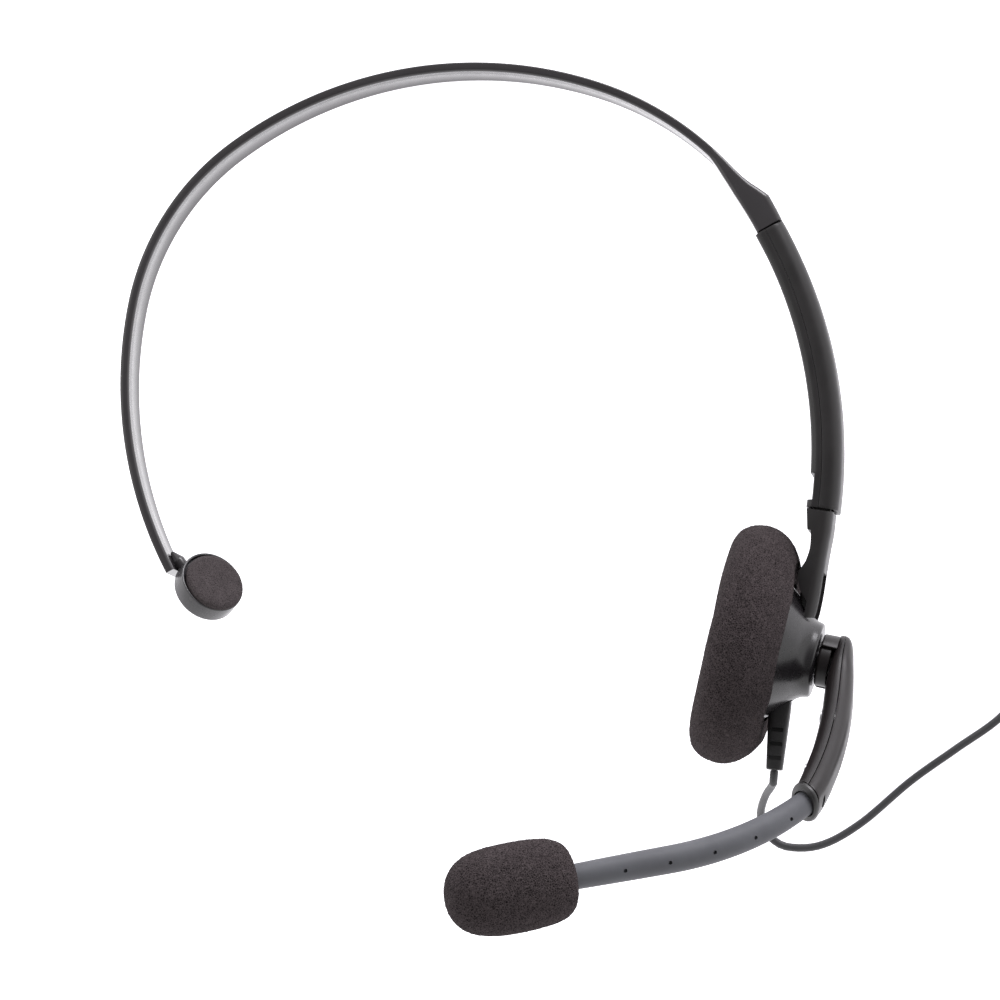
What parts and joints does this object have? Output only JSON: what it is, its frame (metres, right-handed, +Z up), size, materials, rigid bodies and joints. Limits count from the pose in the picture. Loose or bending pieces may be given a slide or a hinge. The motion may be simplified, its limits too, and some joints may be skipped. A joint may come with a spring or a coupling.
{
  "type": "office headset",
  "caption": "Single-ear headset with a foam ear cushion, a swinging flexible microphone boom, a sliding headband, a swivelling temple pad and a stored cord.",
  "frame": {"origin": "centre of the base of the headset's box on the surface it lies on, cord left out", "axes": "+Z up from the surface, +Y toward the crown of the headband, +X toward the ear cup"},
  "size_m": [0.2559, 0.2077, 0.1268],
  "materials": {
    "gloss_black": "gloss",
    "satin_black": "satin",
    "soft_rubber": "matte",
    "open_foam": "matte",
    "cord_jacket": "matte",
    "bright_steel": "satin",
    "gold_contacts": "polished",
    "clear_film": "satin",
    "circuit_board": "matte",
    "tie_strap": "matte"
  },
  "bodies": {
    "ear_cup": {"cup_back_shell": "gloss_black", "baffle_plate": "satin_black", "driver_basket": "satin_black", "driver_magnet": "bright_steel", "driver_diaphragm": "clear_film", "terminal_board": "circuit_board", "cup_screw_1": "bright_steel", "cup_screw_2": "bright_steel", "cup_screw_3": "bright_steel", "ear_cushion": "open_foam", "strain_relief": "soft_rubber", "cord_tube": "cord_jacket", "cord_coil": "cord_jacket", "cord_tie": "tie_strap", "plug_boot": "soft_rubber", "plug_body": "satin_black", "plug_tip": "gold_contacts"},
    "ear_arm": {"ear_arm": "gloss_black", "slider_strip": "bright_steel", "slider_rivet": "bright_steel", "tilt_pin": "bright_steel"},
    "headband": {"headband_strip": "satin_black", "sleeve_outer": "gloss_black", "sleeve_inner": "gloss_black", "sleeve_screw_1": "bright_steel", "sleeve_screw_2": "bright_steel", "detent_spring": "bright_steel", "pad_pivot_pin": "bright_steel"},
    "temple_pad": {"temple_pad_holder": "gloss_black", "temple_pad_foam": "open_foam"},
    "boom_arm": {"pivot_shaft": "satin_black", "pivot_spring_washer": "bright_steel", "pivot_disc": "gloss_black", "pivot_screw": "bright_steel", "boom_arm_outer": "gloss_black", "boom_arm_inner": "gloss_black", "arm_screw_1": "bright_steel", "arm_screw_2": "bright_steel", "boom_socket_ring": "satin_black", "boom_link_1": "soft_rubber", "boom_core_1": "bright_steel"},
    "boom_flex_a": {"boom_link_2": "soft_rubber", "boom_core_2": "bright_steel"},
    "boom_flex_b": {"boom_link_3": "soft_rubber", "boom_core_3": "bright_steel"},
    "boom_flex_c": {"boom_link_4": "soft_rubber", "boom_core_4": "bright_steel"},
    "boom_tip": {"boom_link_5": "soft_rubber", "boom_core_5": "bright_steel", "mic_housing": "satin_black", "mic_capsule": "bright_steel", "mic_grille": "satin_black", "windscreen": "open_foam"}
  },
  "joints": [
    {"name": "ear_cup_tilt", "type": "hinge", "parent": "ear_cup", "child": "ear_arm", "pos_m": [0.07961, -0.02977, 0.02682], "axis": [-0.004, 0.1547, 0.988], "range_deg": [-7, 7]},
    {"name": "band_extend", "type": "hinge", "parent": "ear_arm", "child": "headband", "pos_m": [-0.02794, 0.00475, 0.02098], "axis": [-0.004, 0.1547, 0.988], "range_deg": [0, 14]},
    {"name": "pad_swivel", "type": "hinge", "parent": "headband", "child": "temple_pad", "pos_m": [-0.07015, -0.02885, 0.02606], "axis": [0.6016, -0.7888, 0.1259], "range_deg": [-104.8, 15.2]},
    {"name": "boom_swing", "type": "hinge", "parent": "ear_cup", "child": "boom_arm", "pos_m": [0.06314, -0.04225, 0.02871], "axis": [0.9743, -0.2219, 0.0387], "range_deg": [-87, 183], "deforming": ["cord_tube"]},
    {"name": "boom_flex_1", "type": "hinge", "parent": "boom_arm", "child": "boom_flex_a", "pos_m": [0.07213, -0.08054, 0.08306], "axis": [-0.1647, -0.8189, -0.5498], "range_deg": [-6, 6]},
    {"name": "boom_flex_2", "type": "hinge", "parent": "boom_flex_a", "child": "boom_flex_b", "pos_m": [0.06405, -0.08342, 0.08977], "axis": [-0.1647, -0.8189, -0.5498], "range_deg": [-6, 6]},
    {"name": "boom_flex_3", "type": "hinge", "parent": "boom_flex_b", "child": "boom_flex_c", "pos_m": [0.05502, -0.08546, 0.0955], "axis": [-0.1647, -0.8189, -0.5498], "range_deg": [-6, 6]},
    {"name": "boom_flex_4", "type": "hinge", "parent": "boom_flex_c", "child": "boom_tip", "pos_m": [0.04534, -0.08675, 0.10034], "axis": [-0.1647, -0.8189, -0.5498], "range_deg": [-6, 6]}
  ],
  "couplings": [
    {"joint": "boom_flex_2", "follows": "boom_flex_1", "ratio": 1},
    {"joint": "boom_flex_3", "follows": "boom_flex_1", "ratio": 1},
    {"joint": "boom_flex_4", "follows": "boom_flex_1", "ratio": 1}
  ]
}
